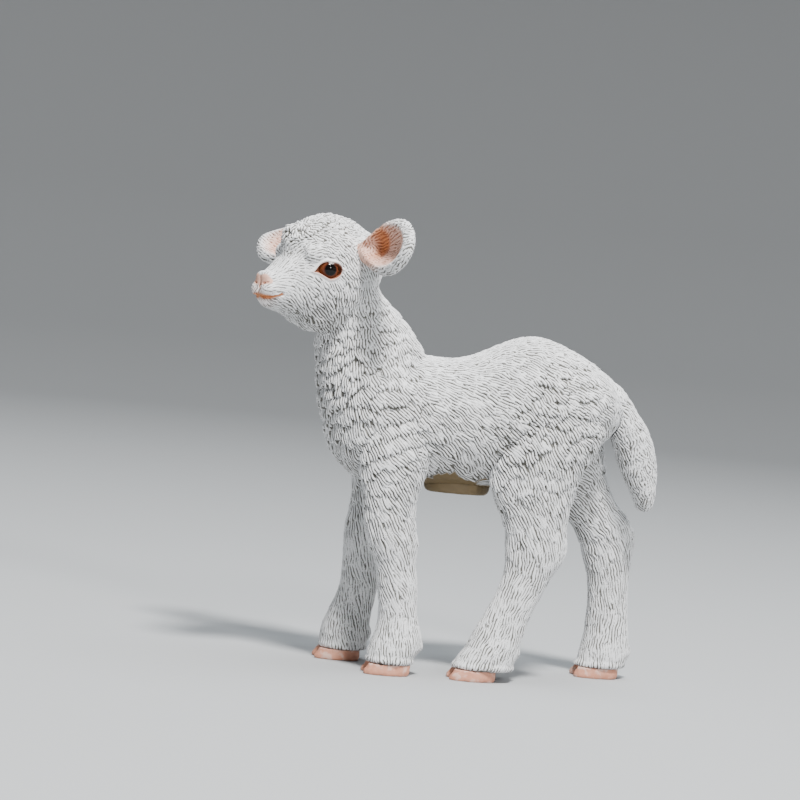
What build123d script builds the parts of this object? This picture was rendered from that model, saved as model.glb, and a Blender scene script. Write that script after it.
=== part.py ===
from build123d import *

import os
from math import cos, radians, sin

# A standing lamb figurine in cold-cast resin, painted white. It faces -X and looks to its left, -Y.
# The body is one casting with sockets. The head, ears, tail and legs are castings of their own, glued
# into those sockets. A steel wire runs through each leg, a dowel carries the head, a pin the tail.
# Lengths are in millimetres and angles in degrees. A table of shares is read against named sizes.

# Fits
glue_gap = 0.15
eye_gap = 0.10
steel_gap = 0.05

# Barrel, the trunk from the shoulders to the rump
belly_height = 60.0
barrel_length = 85.0
barrel_depth = 49.5
barrel_width = 39.0
barrel_front = -34.0

# Neck and breast, one swelling that rises in front of the barrel
neck_foot = 60.0
neck_rise = 67.0
breast_front = -49.4
chest_length = 43.0
chest_width = 35.2

# Head
head_length = 44.8
head_depth = 38.5
head_width = 27.0
head_turn = 30.0
nape_x = -32.0
nape_y = 5.0
jaw_height = 105.0
eye_radius = 3.3
brow_width = 9.0
brow_height = 9.0
brow_length = 16.0
nose_width = 7.4
nose_height = 4.4
nose_length = 4.2
nostril_radius = 0.7
lip_width = 6.2
lip_height = 5.4
lip_length = 7.0
chin_width = 7.4
chin_height = 5.2
chin_length = 7.0
mouth_length = 7.6
mouth_width = 13.0
mouth_groove = 1.9
mouth_gap = 0.5
mouth_sweep = 72

# Ears, and how each one turns about its own length
ear_length = 30.0
ear_width = 18.0
ear_depth = 8.4
ear_rim = 1.8
ear_back_wall = 2.0
left_ear_turn = -12
right_ear_turn = 38

# Tail
tail_drop = 41.0
tail_sweep = 19.3
tail_depth = 11.2
tail_width = 10.5
tail_root_x = 44.4
tail_root_z = 99.0
tail_pin_radius = 0.9
tail_pin_length = 15.0

# Legs
stance_width = 27.5
hip_spread = 22.0
front_hip_x = -22.5
front_stride = 14.0
front_leg_top = 91.0
front_leg_depth = 24.0
front_leg_width = 15.0
hind_hip_x = 27.0
hind_stride = 28.0
hind_leg_top = 97.0
hind_leg_depth = 35.4
hind_leg_width = 17.0

# Hooves, each of two claws, and how far each stands forward of its leg
hoof_height = 3.4
hoof_length = 14.6
claw_width = 6.8
claw_spread = 6.0
toe_lean = 1.0
front_left_reach = 0.4
front_right_reach = 1.4
hind_left_reach = 2.6
hind_right_reach = 0.4

# Steel inside
wire_radius = 1.2
wire_bend = 10.0
wire_foot_height = 1.4
wire_head_room = 5.0
dowel_radius = 1.6
dowel_length = 26.0

# Hollow of the trunk, and the plug that closes its pour hole
hollow_front = -9.0
hollow_length = 19.0
hollow_width = 25.0
hollow_floor = 65.5
hollow_height = 29.0
plug_x = 0.2
plug_length = 21.2
plug_width = 12.0
plug_drop = 2.4
plug_depth = 9.0

# Barrel, against its length, depth and width: place along, underside, back, width
barrel_shares = [
    (0.00, 0.18, 0.63, 0.46),
    (0.07, 0.08, 0.75, 0.74),
    (0.19, 0.02, 0.82, 0.88),
    (0.36, 0.00, 0.82, 0.94),
    (0.51, 0.01, 0.925, 0.97),
    (0.65, 0.06, 1.00, 1.00),
    (0.78, 0.16, 0.94, 0.97),
    (0.88, 0.27, 0.855, 0.85),
    (0.95, 0.375, 0.757, 0.60),
    (1.00, 0.485, 0.657, 0.28),
]

# The trunk's hollow, along its length and against its section, and the plug, up its depth
hollow_shares = [(0.00, 0.55), (0.20, 0.90), (0.50, 1.00), (0.80, 0.90), (1.00, 0.55)]
plug_shares = [(0.00, 0.86), (0.10, 0.97), (0.20, 1.00), (0.55, 0.98), (1.00, 0.96)]

# Neck, against its rise, the chest's length and its width: height, front, rear, width
neck_shares = [
    (0.000, 0.370, 0.637, 0.43),
    (0.075, 0.244, 0.753, 0.72),
    (0.180, 0.144, 0.916, 0.93),
    (0.300, 0.098, 1.000, 1.00),
    (0.420, 0.051, 0.953, 0.95),
    (0.520, 0.028, 0.865, 0.84),
    (0.630, 0.005, 0.795, 0.74),
    (0.730, 0.016, 0.679, 0.70),
    (0.835, 0.030, 0.549, 0.67),
    (0.940, 0.056, 0.433, 0.60),
    (1.000, 0.102, 0.367, 0.43),
]

# Head, against its length, depth and width, from the nape to the lips: place along, jaw, top, width
head_shares = [
    (0.000, 0.40, 0.68, 0.36),
    (0.075, 0.25, 0.84, 0.72),
    (0.200, 0.08, 0.94, 0.94),
    (0.330, 0.01, 0.98, 1.00),
    (0.457, 0.00, 0.98, 1.00),
    (0.574, 0.03, 0.945, 0.95),
    (0.660, 0.06, 0.85, 0.84),
    (0.755, 0.10, 0.68, 0.64),
    (0.850, 0.145, 0.565, 0.47),
    (0.930, 0.185, 0.47, 0.40),
    (0.980, 0.230, 0.41, 0.28),
    (1.000, 0.270, 0.37, 0.16),
]

# Places on the head, against its length, its depth and half its width: along from the nape, up, out
eye_place_shares = (0.585, 0.518, 0.74)
brow_place_shares = (0.570, 0.625, 0.57)
nose_place_shares = (0.955, 0.408, 0.0)
nostril_place_shares = (0.998, 0.395, 0.15)
lip_place_shares = (0.935, 0.315, 0.18)
chin_place_shares = (0.890, 0.232, 0.0)
mouth_place_shares = (0.845, 0.268, 0.0)
ear_root_shares = (0.275, 0.700, 0.62)
dowel_head_shares = (0.330, 0.600, 0.0)

# The rows that the steel reaches for: the dowel's in the neck, and the pin's in the rump and the tail
dowel_neck_row = 6
pin_rump_row = 7
pin_tail_row = 2

# How far an ear leans forward, and how far each lifts, against its run outward
left_ear_lean_share = 0.14
right_ear_lean_share = 0.20
left_ear_lift_share = 0.09
right_ear_lift_share = 0.02

# Ears, against their length, width and depth: place along, width, depth
ear_shares = [
    (0.00, 0.40, 0.80),
    (0.16, 0.50, 1.00),
    (0.36, 0.82, 1.00),
    (0.60, 1.00, 0.88),
    (0.82, 0.88, 0.64),
    (0.95, 0.56, 0.42),
    (1.00, 0.26, 0.24),
]
# The hollow of the ear, in the same measures less its rim and back wall
ear_hollow_shares = [
    (0.20, 0.14, 0.24),
    (0.36, 0.66, 0.80),
    (0.60, 1.00, 0.92),
    (0.80, 0.84, 0.72),
    (0.92, 0.36, 0.36),
]

# Tail, against its drop, sweep, depth and width: fall, way back, depth, width
tail_shares = [
    (0.00, 0.00, 0.24, 0.30),
    (0.083, 0.10, 0.66, 0.78),
    (0.21, 0.29, 0.89, 0.97),
    (0.355, 0.49, 0.98, 1.00),
    (0.50, 0.665, 1.00, 0.97),
    (0.62, 0.757, 0.95, 0.92),
    (0.745, 0.838, 0.82, 0.85),
    (0.865, 0.92, 0.56, 0.70),
    (0.95, 0.96, 0.40, 0.50),
    (1.00, 0.96, 0.20, 0.26),
]

# Legs, against their height, the stride, and their depth and width: height, way back, depth, width
front_left_shares = [
    (0.000, 0.293, 0.59, 0.84),
    (0.027, 0.314, 0.63, 0.88),
    (0.072, 0.400, 0.66, 0.87),
    (0.128, 0.420, 0.575, 0.75),
    (0.208, 0.364, 0.505, 0.68),
    (0.298, 0.300, 0.525, 0.71),
    (0.411, 0.157, 0.64, 0.82),
    (0.525, 0.000, 0.67, 0.88),
    (0.638, -0.020, 0.78, 0.94),
    (0.774, 0.000, 0.96, 1.00),
    (0.880, 0.000, 0.86, 0.80),
    (0.950, -0.015, 0.70, 0.56),
    (1.000, -0.030, 0.54, 0.36),
]
front_right_shares = [
    (0.000, -0.507, 0.60, 0.84),
    (0.027, -0.507, 0.64, 0.88),
    (0.072, -0.500, 0.64, 0.87),
    (0.128, -0.443, 0.585, 0.75),
    (0.190, -0.343, 0.53, 0.68),
    (0.298, -0.279, 0.49, 0.71),
    (0.411, -0.243, 0.56, 0.82),
    (0.525, -0.080, 0.67, 0.88),
    (0.638, 0.000, 0.78, 0.94),
    (0.774, 0.000, 0.96, 1.00),
    (0.880, 0.000, 0.86, 0.80),
    (0.950, -0.015, 0.70, 0.56),
    (1.000, -0.030, 0.54, 0.36),
]
hind_left_shares = [
    (0.000, -0.557, 0.515, 0.76),
    (0.025, -0.532, 0.535, 0.78),
    (0.068, -0.471, 0.485, 0.76),
    (0.120, -0.411, 0.455, 0.67),
    (0.173, -0.343, 0.420, 0.63),
    (0.280, -0.189, 0.410, 0.63),
    (0.332, -0.125, 0.435, 0.66),
    (0.385, -0.071, 0.520, 0.70),
    (0.428, -0.061, 0.555, 0.73),
    (0.492, -0.093, 0.570, 0.76),
    (0.597, -0.157, 0.725, 0.85),
    (0.703, -0.136, 0.850, 0.95),
    (0.809, -0.021, 0.970, 1.00),
    (0.890, 0.030, 0.900, 0.86),
    (0.950, 0.050, 0.740, 0.66),
    (1.000, 0.060, 0.560, 0.44),
]
hind_right_shares = [
    (0.000, 1.010, 0.435, 0.76),
    (0.025, 1.050, 0.455, 0.78),
    (0.068, 1.070, 0.450, 0.76),
    (0.120, 1.070, 0.410, 0.67),
    (0.173, 1.060, 0.385, 0.63),
    (0.280, 1.035, 0.375, 0.63),
    (0.332, 1.015, 0.400, 0.66),
    (0.385, 0.990, 0.455, 0.70),
    (0.438, 0.965, 0.520, 0.73),
    (0.492, 0.890, 0.580, 0.76),
    (0.597, 0.580, 0.640, 0.85),
    (0.703, 0.370, 0.760, 0.95),
    (0.809, 0.214, 0.900, 1.00),
    (0.890, 0.110, 0.870, 0.86),
    (0.950, 0.075, 0.740, 0.66),
    (1.000, 0.060, 0.560, 0.44),
]

# One claw of a hoof, against its height, length and width: height, length, width, lean
claw_shares = [
    (0.00, 0.96, 0.95, 1.00),
    (0.16, 1.00, 1.00, 0.90),
    (0.60, 0.96, 0.97, 0.45),
    (1.00, 0.91, 0.93, 0.00),
]

left, right = -1, 1
up = Vector(0, 0, 1)
foot_height = hoof_height + glue_gap


def loft_through(stations, grow=0.0):
    """A swelling form through oval sections, each a plane with its half width and half depth.
    grow swells every section and moves the two ends outward, for a socket that takes the form."""
    last = len(stations) - 1
    with BuildPart() as form:
        for i, (plane, half_width, half_depth) in enumerate(stations):
            shift = {0: -grow, last: grow}.get(i, 0)
            with BuildSketch(plane.offset(shift)):
                with BuildLine():
                    for start in (0, 90, 180, 270):
                        EllipticalCenterArc(
                            (0, 0), half_width + grow, half_depth + grow, start, arc_size=90
                        )
                make_face()
        loft()
    return form.part


# Barrel, its hollow and its plug
def barrel_centre(along, low, high):
    return Vector(
        barrel_front + barrel_length * along,
        0,
        belly_height + barrel_depth * (low + high) / 2,
    )


def barrel_form():
    stations = []
    for along, low, high, width in barrel_shares:
        plane = Plane(barrel_centre(along, low, high), x_dir=(0, 1, 0), z_dir=(1, 0, 0))
        stations.append((plane, barrel_width * width / 2, barrel_depth * (high - low) / 2))
    return loft_through(stations)


def hollow_form():
    """The space that the casting's shell leaves between the shoulders and the thighs."""
    stations = []
    for along, size in hollow_shares:
        place = (hollow_front + hollow_length * along, 0, hollow_floor + hollow_height / 2)
        plane = Plane(place, x_dir=(0, 1, 0), z_dir=(1, 0, 0))
        stations.append((plane, hollow_width * size / 2, hollow_height * size / 2))
    return loft_through(stations)


def plug_form(grow=0.0):
    """The plug: a low dome that shows under the belly, on a straight neck that fills the pour hole."""
    stations = []
    for height, size in plug_shares:
        place = (plug_x, 0, belly_height - plug_drop + plug_depth * height)
        stations.append((Plane(place), plug_length * size / 2, plug_width * size / 2))
    return loft_through(stations, grow)


# Neck and breast
def neck_centre(height, front, rear):
    return Vector(
        breast_front + chest_length * (front + rear) / 2,
        0,
        neck_foot + neck_rise * height,
    )


def neck_form():
    stations = []
    for height, front, rear, width in neck_shares:
        plane = Plane(neck_centre(height, front, rear), x_dir=(1, 0, 0), z_dir=up)
        stations.append((plane, chest_length * (rear - front) / 2, chest_width * width / 2))
    return loft_through(stations)


# Head: forward runs from the nape to the nose, leftward to the lamb's left
forward = Vector(-cos(radians(head_turn)), -sin(radians(head_turn)), 0)
leftward = Vector(sin(radians(head_turn)), -cos(radians(head_turn)), 0)
nape = Vector(nape_x, nape_y, jaw_height)


def head_point(along, height, out=0.0, side=left):
    """A place on the head, given in shares of its length, its depth and half its width."""
    across = leftward * (-side * head_width / 2 * out)
    return nape + forward * (head_length * along) + up * (head_depth * height) + across


def head_plane(place):
    return Plane(place, x_dir=leftward, z_dir=forward)


def head_form(grow=0.0):
    stations = []
    for along, low, high, width in head_shares:
        plane = head_plane(head_point(along, (low + high) / 2))
        stations.append((plane, head_width * width / 2, head_depth * (high - low) / 2))
    return loft_through(stations, grow)


def oval_lump(place, width, height, length):
    """A rounded swelling of the face, measured across, up and along the head."""
    with BuildPart() as lump:
        Sphere(1)
        scale(by=(width / 2, height / 2, length / 2))
    return lump.part.moved(head_plane(place).location)


def mouth_cut():
    """The line of the mouth: a shallow groove that runs round the front of the muzzle."""
    plane = Plane(head_point(*mouth_place_shares), x_dir=forward, z_dir=up)
    arc = {"start_angle": -mouth_sweep, "arc_size": 2 * mouth_sweep}
    with BuildPart() as groove:
        with BuildSketch(plane):
            with BuildLine():
                outer = EllipticalCenterArc((0, 0), mouth_length, mouth_width / 2, **arc)
                inner = EllipticalCenterArc(
                    (0, 0), mouth_length - mouth_groove, mouth_width / 2 - mouth_groove, **arc
                )
                Line(outer @ 0, inner @ 0)
                Line(outer @ 1, inner @ 1)
            make_face()
        extrude(amount=mouth_gap / 2, both=True)
    return groove.part


# Ears: the plane at the root has its Z along the ear and its Y out of the hollow
def ear_plane(side, lean_share, lift_share, turn):
    root = head_point(*ear_root_shares, side)
    along = (leftward * -side + forward * lean_share + up * lift_share).normalized()
    outward = (forward - along * forward.dot(along)).normalized()
    across = outward.cross(along)
    turned = across * cos(radians(turn)) + outward * sin(radians(turn))
    return Plane(root, x_dir=turned, z_dir=along)


def ear_form(root, grow=0.0):
    stations = [
        (root.offset(ear_length * along), ear_width * width / 2, ear_depth * depth / 2)
        for along, width, depth in ear_shares
    ]
    return loft_through(stations, grow)


def ear_hollow_form(root):
    """The hollow, centred on the ear's open face, so that a rim and a back wall are left."""
    face = root.shift_origin(root.origin + root.y_dir * (ear_depth / 2))
    inner_width = ear_width - 2 * ear_rim
    inner_depth = ear_depth - ear_back_wall
    stations = [
        (face.offset(ear_length * along), inner_width * width / 2, inner_depth * depth)
        for along, width, depth in ear_hollow_shares
    ]
    return loft_through(stations)


# Tail, from its tip up to its root
def tail_centre(fall, back):
    return Vector(tail_root_x + tail_sweep * back, 0, tail_root_z - tail_drop * fall)


def tail_form(grow=0.0):
    stations = []
    for fall, back, depth, width in reversed(tail_shares):
        plane = Plane(tail_centre(fall, back), x_dir=(1, 0, 0), z_dir=up)
        stations.append((plane, tail_depth * depth / 2, tail_width * width / 2))
    return loft_through(stations, grow)


# Legs and hooves
front_leg = {
    "hip_x": front_hip_x,
    "stride": front_stride,
    "top": front_leg_top,
    "depth": front_leg_depth,
    "width": front_leg_width,
    "wire_rows": (3, 6, 9),
}
hind_leg = {
    "hip_x": hind_hip_x,
    "stride": hind_stride,
    "top": hind_leg_top,
    "depth": hind_leg_depth,
    "width": hind_leg_width,
    "wire_rows": (4, 8, 12),
}
legs = {
    "front_left": {**front_leg, "side": left, "rows": front_left_shares, "reach": front_left_reach},
    "front_right": {**front_leg, "side": right, "rows": front_right_shares, "reach": front_right_reach},
    "hind_left": {**hind_leg, "side": left, "rows": hind_left_shares, "reach": hind_left_reach},
    "hind_right": {**hind_leg, "side": right, "rows": hind_right_shares, "reach": hind_right_reach},
}


def leg_centre(leg, row):
    """The middle of a leg at one of its rows. The legs draw in a little from the hooves to the hips."""
    height, back = row[0], row[1]
    spread = stance_width + (hip_spread - stance_width) * height
    return Vector(
        leg["hip_x"] + leg["stride"] * back,
        leg["side"] * spread / 2,
        foot_height + (leg["top"] - foot_height) * height,
    )


def leg_form(leg, grow=0.0):
    stations = []
    for row in leg["rows"]:
        plane = Plane(leg_centre(leg, row), x_dir=(1, 0, 0), z_dir=up)
        stations.append((plane, leg["depth"] * row[2] / 2, leg["width"] * row[3] / 2))
    return loft_through(stations, grow)


def wire_form(leg, radius):
    """The wire up a leg: straight runs with bent corners, from inside the hoof to above the leg's top."""
    foot = leg_centre(leg, leg["rows"][0])
    top = leg_centre(leg, leg["rows"][-1])
    points = [Vector(foot.X, foot.Y, wire_foot_height)]
    points += [leg_centre(leg, leg["rows"][i]) for i in leg["wire_rows"]]
    points += [Vector(top.X, top.Y, leg["top"] + wire_head_room)]
    with BuildPart() as wire:
        with BuildLine() as path:
            FilletPolyline(*points, radius=wire_bend)
        with BuildSketch(Plane(path.line @ 0, z_dir=path.line % 0)):
            Circle(radius)
        sweep()
    return wire.part


def claw_form(leg, side):
    """One claw of a hoof. It leans forward from the coronet to the toe."""
    foot = leg_centre(leg, leg["rows"][0])
    stations = []
    for height, length, width, lean in claw_shares:
        place = (
            foot.X - leg["reach"] - toe_lean * lean,
            foot.Y + side * claw_spread / 2,
            hoof_height * height,
        )
        stations.append((Plane(place), hoof_length * length / 2, claw_width * width / 2))
    return loft_through(stations)


# Steel in the neck and the tail
def rod(top, foot, radius, length):
    """A straight steel rod, centred between two places and in line with them."""
    with BuildPart() as piece:
        with BuildSketch(Plane((top + foot) / 2, z_dir=foot - top)):
            Circle(radius)
        extrude(amount=length / 2, both=True)
    return piece.part


dowel_ends = head_point(*dowel_head_shares), neck_centre(*neck_shares[dowel_neck_row][:3])
pin_ends = barrel_centre(*barrel_shares[pin_rump_row][:3]), tail_centre(*tail_shares[pin_tail_row][:2])
dowel_way = rod(*dowel_ends, dowel_radius + steel_gap, dowel_length)
pin_way = rod(*pin_ends, tail_pin_radius + steel_gap, tail_pin_length)

ear_planes = {
    "left": ear_plane(left, left_ear_lean_share, left_ear_lift_share, left_ear_turn),
    "right": ear_plane(right, right_ear_lean_share, right_ear_lift_share, right_ear_turn),
}
wire_ways = {name: wire_form(leg, wire_radius + steel_gap) for name, leg in legs.items()}
eye_places = {
    "left": head_point(*eye_place_shares, left),
    "right": head_point(*eye_place_shares, right),
}
finished = {}

# Body casting: barrel and neck in one, with a socket for each piece that is glued into it
with BuildPart() as body_casting:
    add(barrel_form())
    add(neck_form())
    add(hollow_form(), mode=Mode.SUBTRACT)
    add(plug_form(glue_gap), mode=Mode.SUBTRACT)
    for name, leg in legs.items():
        add(leg_form(leg, glue_gap), mode=Mode.SUBTRACT)
        add(wire_ways[name], mode=Mode.SUBTRACT)
    add(tail_form(glue_gap), mode=Mode.SUBTRACT)
    add(pin_way, mode=Mode.SUBTRACT)
    add(head_form(glue_gap), mode=Mode.SUBTRACT)
    add(dowel_way, mode=Mode.SUBTRACT)
finished["body_casting"] = body_casting

with BuildPart() as belly_plug:
    add(plug_form())
finished["belly_plug"] = belly_plug

# Head casting, with the sockets for its ears and eyes
with BuildPart() as head_casting:
    add(head_form())
    add(oval_lump(head_point(*nose_place_shares), nose_width, nose_height, nose_length))
    add(oval_lump(head_point(*chin_place_shares), chin_width, chin_height, chin_length))
    for side in (left, right):
        add(oval_lump(head_point(*lip_place_shares, side), lip_width, lip_height, lip_length))
        add(oval_lump(head_point(*brow_place_shares, side), brow_width, brow_height, brow_length))
    add(mouth_cut(), mode=Mode.SUBTRACT)
    with Locations(*[head_point(*nostril_place_shares, side) for side in (left, right)]):
        Sphere(nostril_radius, mode=Mode.SUBTRACT)
    with Locations(*eye_places.values()):
        Sphere(eye_radius + eye_gap, mode=Mode.SUBTRACT)
    for root in ear_planes.values():
        add(ear_form(root, glue_gap), mode=Mode.SUBTRACT)
    add(dowel_way, mode=Mode.SUBTRACT)
finished["head_casting"] = head_casting

for name in ("left", "right"):
    with BuildPart() as eye:
        with Locations(eye_places[name]):
            Sphere(eye_radius)
    finished[f"{name}_eye"] = eye

    with BuildPart() as ear:
        add(ear_form(ear_planes[name]))
        add(ear_hollow_form(ear_planes[name]), mode=Mode.SUBTRACT)
    finished[f"{name}_ear"] = ear

# Tail
with BuildPart() as tail:
    add(tail_form())
    add(pin_way, mode=Mode.SUBTRACT)
finished["tail"] = tail

# Leg castings, hooves and the wires through them
for name, leg in legs.items():
    with BuildPart() as leg_casting:
        add(leg_form(leg))
        add(wire_ways[name], mode=Mode.SUBTRACT)
    finished[f"{name}_leg"] = leg_casting

    with BuildPart() as hoof:
        add(claw_form(leg, left))
        add(claw_form(leg, right))
        add(wire_ways[name], mode=Mode.SUBTRACT)
    finished[f"{name}_hoof"] = hoof

    with BuildPart() as leg_wire:
        add(wire_form(leg, wire_radius))
    finished[f"{name}_leg_wire"] = leg_wire

# Steel
with BuildPart() as neck_dowel:
    add(rod(*dowel_ends, dowel_radius, dowel_length))
finished["neck_dowel"] = neck_dowel

with BuildPart() as tail_pin:
    add(rod(*pin_ends, tail_pin_radius, tail_pin_length))
finished["tail_pin"] = tail_pin

# The figurine's own origin is on the ground, at the middle of its box
boxes = [piece.part.bounding_box() for piece in finished.values()]
middle_x = (min(box.min.X for box in boxes) + max(box.max.X for box in boxes)) / 2
middle_y = (min(box.min.Y for box in boxes) + max(box.max.Y for box in boxes)) / 2

os.makedirs("parts", exist_ok=True)
for name, piece in finished.items():
    piece.part = piece.part.moved(Location((-middle_x, -middle_y, 0)))
    piece.part.label = name
    export_step(piece.part, f"parts/{name}.step")
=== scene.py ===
# %% [markdown]
# # A painted lamb figurine
# The object is a small standing lamb, cast in resin from a carved model and painted by hand. Its charm is
# in the carving: every part of the coat is cut into little locks of wool. The castings come from the frame
# with their true sizes and places. They are smooth, so this lesson carves the coat and paints it.

# %% The castings
import math
from itertools import product

import bmesh
import bpy
import numpy as np
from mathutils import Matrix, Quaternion, Vector
from mathutils.bvhtree import BVHTree


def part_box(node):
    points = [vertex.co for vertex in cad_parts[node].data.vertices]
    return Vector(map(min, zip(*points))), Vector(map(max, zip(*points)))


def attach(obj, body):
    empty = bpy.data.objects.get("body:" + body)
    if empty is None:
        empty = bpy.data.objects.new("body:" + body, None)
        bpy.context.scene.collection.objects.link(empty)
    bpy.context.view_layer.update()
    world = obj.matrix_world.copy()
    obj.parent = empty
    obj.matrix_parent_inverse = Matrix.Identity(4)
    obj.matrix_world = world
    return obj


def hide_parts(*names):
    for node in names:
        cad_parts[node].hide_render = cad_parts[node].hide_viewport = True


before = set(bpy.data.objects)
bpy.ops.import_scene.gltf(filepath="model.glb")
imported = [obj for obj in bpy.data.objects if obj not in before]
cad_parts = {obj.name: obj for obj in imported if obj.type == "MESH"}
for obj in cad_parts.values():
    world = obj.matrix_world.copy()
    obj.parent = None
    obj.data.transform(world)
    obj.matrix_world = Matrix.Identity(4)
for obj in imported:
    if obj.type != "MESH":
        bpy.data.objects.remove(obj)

mm = 0.001
up = np.array([0.0, 0.0, 1.0])
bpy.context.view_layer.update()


def placed(name, data):
    """A new object in the scene with this mesh, lamp or camera."""
    made = bpy.data.objects.new(name, data)
    bpy.context.scene.collection.objects.link(made)
    return made


sides = {"left": 1, "right": -1}
legs = ["front_left", "front_right", "hind_left", "hind_right"]

# %% [markdown]
# ## Camera
# The lamb is seen almost from its left side, a little from the front and from just above the ground, with
# a long lens. The ground falls away to the right in that view, so the camera is rolled by a few degrees.

# %% Camera
view_turn = math.radians(-9)
view_rise = math.radians(2.5)
view_roll = math.radians(5.4)
view_distance = 0.9
view_aim = Vector((-16.4, 6.6, 85.6)) * mm

camera = placed("camera", bpy.data.cameras.new("camera"))
bpy.context.scene.camera = camera
camera.data.lens = 126.6
camera.data.sensor_width = 36
backward = Vector((
    math.sin(view_turn) * math.cos(view_rise),
    -math.cos(view_turn) * math.cos(view_rise),
    math.sin(view_rise),
))
camera.location = view_aim + backward * view_distance
camera.rotation_mode = "QUATERNION"
camera.rotation_quaternion = (-backward).to_track_quat("-Z", "Y") @ Quaternion((0, 0, 1), view_roll)
print("camera at", [round(x, 3) for x in camera.location])

# %% [markdown]
# ## Shader sums
# A material is a net of nodes, and sums on sockets are tedious to wire by hand. A small class wraps a
# socket, so that `1 - mask` adds the Math node itself. Everything else comes from one method, `node`.

# %% Sums on sockets
class Wire:
    """A socket of a recipe's nodes that can stand in a sum."""

    def __init__(self, recipe, socket):
        self.recipe = recipe
        self.socket = socket

    def maths(self, operation, first, second):
        return self.recipe.node("ShaderNodeMath", {"operation": operation}, {0: first, 1: second})

    def __add__(self, other):
        return self.maths("ADD", self, other)

    def __sub__(self, other):
        return self.maths("SUBTRACT", self, other)

    def __rsub__(self, other):
        return self.maths("SUBTRACT", other, self)

    def __mul__(self, other):
        return self.maths("MULTIPLY", self, other)

    __radd__ = __add__
    __rmul__ = __mul__


# %% Recipes
class Recipe:
    """A material and the one way to add a node to it."""

    def __init__(self, name):
        self.material = bpy.data.materials.new(name)
        self.material.use_nodes = True
        self.material.node_tree.nodes.clear()

    def node(self, kind, settings=None, sockets=None, output=0):
        """Adds a node. A colour is given as red, green and blue, and a socket wants one number more."""
        tree = self.material.node_tree
        made = tree.nodes.new(kind)
        for key, value in (settings or {}).items():
            setattr(made, key, value)
        for key, value in (sockets or {}).items():
            if isinstance(value, Wire):
                tree.links.new(value.socket, made.inputs[key])
            else:
                made.inputs[key].default_value = (*value, 1.0) if isinstance(value, tuple) else value
        return Wire(self, made.outputs[output])

    def carved(self, name):
        """A value that the carving left on every vertex."""
        return self.node("ShaderNodeAttribute", {"attribute_name": name}, output=2)

    def blend(self, mask, low, high):
        """The low colour where the mask is 0 and the high one where it is 1."""
        settings = {"data_type": "RGBA", "clamp_factor": True}
        return self.node("ShaderNodeMix", settings, {0: mask, 6: low, 7: high}, output=2)

    def speckle(self, scale, detail=3.0, roughness=0.55):
        place = self.node("ShaderNodeTexCoord", output=3)
        sockets = {"Vector": place, "Scale": scale, "Detail": detail, "Roughness": roughness}
        return self.node("ShaderNodeTexNoise", {}, sockets)

    def between(self, value, low, high):
        """0 below low, 1 above high and a smooth rise from one to the other."""
        settings = {"interpolation_type": "SMOOTHSTEP"}
        sockets = {"Value": value, "From Min": low, "From Max": high}
        return self.node("ShaderNodeMapRange", settings, sockets)

    def bump(self, height, depth, strength):
        sockets = {"Height": height, "Distance": depth, "Strength": strength}
        return self.node("ShaderNodeBump", {}, sockets)

    def finish(self, **sockets):
        """Ends the recipe in one painted surface."""
        named = {key.replace("_", " "): value for key, value in sockets.items()}
        surface = self.node("ShaderNodeBsdfPrincipled", {}, named)
        tree = self.material.node_tree
        end = tree.nodes.new("ShaderNodeOutputMaterial")
        tree.links.new(surface.socket, end.inputs["Surface"])
        return self.material


# %% [markdown]
# ## White paint over the carving
# The real lamb is sprayed white, and a thin grey wash stays in the grooves. The grey is also painted shade,
# darker in the hollows, under the tips of the locks and where the coat faces down. The nose and the insides
# of the ears are blushed pink, the lips and the slits of the ears salmon, and the rims of the eyes rust.
# The smooth strip under the belly is painted dark brown, as painted shade and the reflected colour of the
# ground.
# The carving writes these areas on the vertices as values, and the paint only mixes its colours by them.

# %% Wool paint
# Dark brown for the smooth strip under the belly and for the plug: painted shade and the reflected colour
# of the ground
underside_shade_colours = ((0.11, 0.075, 0.032), (0.18, 0.125, 0.058))


def wool_paint():
    recipe = Recipe("wool_paint")
    mottle = recipe.speckle(420.0)
    # Where the mask is high the white turns dark grey: the grey wash in the grooves, and painted shade in
    # the hollows, under the tips of the locks and where the coat faces down. Blush and salmon darken by it
    # too.
    wash_and_shade_mask = recipe.between(recipe.carved("groove") + (mottle - 0.5) * 0.30, 0.15, 0.85)
    white = recipe.blend(mottle, (0.76, 0.765, 0.78), (0.88, 0.88, 0.885))
    coat = recipe.blend(wash_and_shade_mask, white, (0.12, 0.115, 0.10))
    layers = [
        ("blush", wash_and_shade_mask, (0.72, 0.43, 0.33), (0.34, 0.15, 0.09)),
        ("salmon", wash_and_shade_mask, (0.60, 0.22, 0.08), (0.30, 0.09, 0.03)),
        ("rust", mottle, (0.18, 0.055, 0.03), (0.28, 0.095, 0.045)),
        ("underside_shade", mottle, *underside_shade_colours),
    ]
    for mark, mask, low, high in layers:
        coat = recipe.blend(recipe.carved(mark), coat, recipe.blend(mask, low, high))
    grain = recipe.speckle(3200.0, detail=2.0)
    return recipe.finish(
        Base_Color=coat,
        Roughness=0.52 + recipe.speckle(900.0) * 0.22,
        Normal=recipe.bump(grain, 0.05 * mm, 0.35),
        Specular_IOR_Level=0.38,
    )


paint = wool_paint()
print("paint", len(paint.node_tree.nodes), "nodes")

# %% [markdown]
# ## One skin from many castings
# On the real lamb the paint closes the joints between the castings, and the coat runs over them. So
# copies of the castings are joined, and a voxel remesh makes one even skin of small squares. Smoothing
# takes away the steps of the voxels. A list keeps which casting each square belongs to.

# %% Arrays from meshes
def read(items, name, width, kind=np.float32):
    flat = np.empty(len(items) * width, kind)
    items.foreach_get(name, flat)
    return flat.reshape(-1, width) if width > 1 else flat


def points_of(mesh):
    """The vertices in millimetres."""
    return read(mesh.vertices, "co", 3).astype(float) / mm


def casting_points(node):
    return points_of(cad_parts[node].data)


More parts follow.
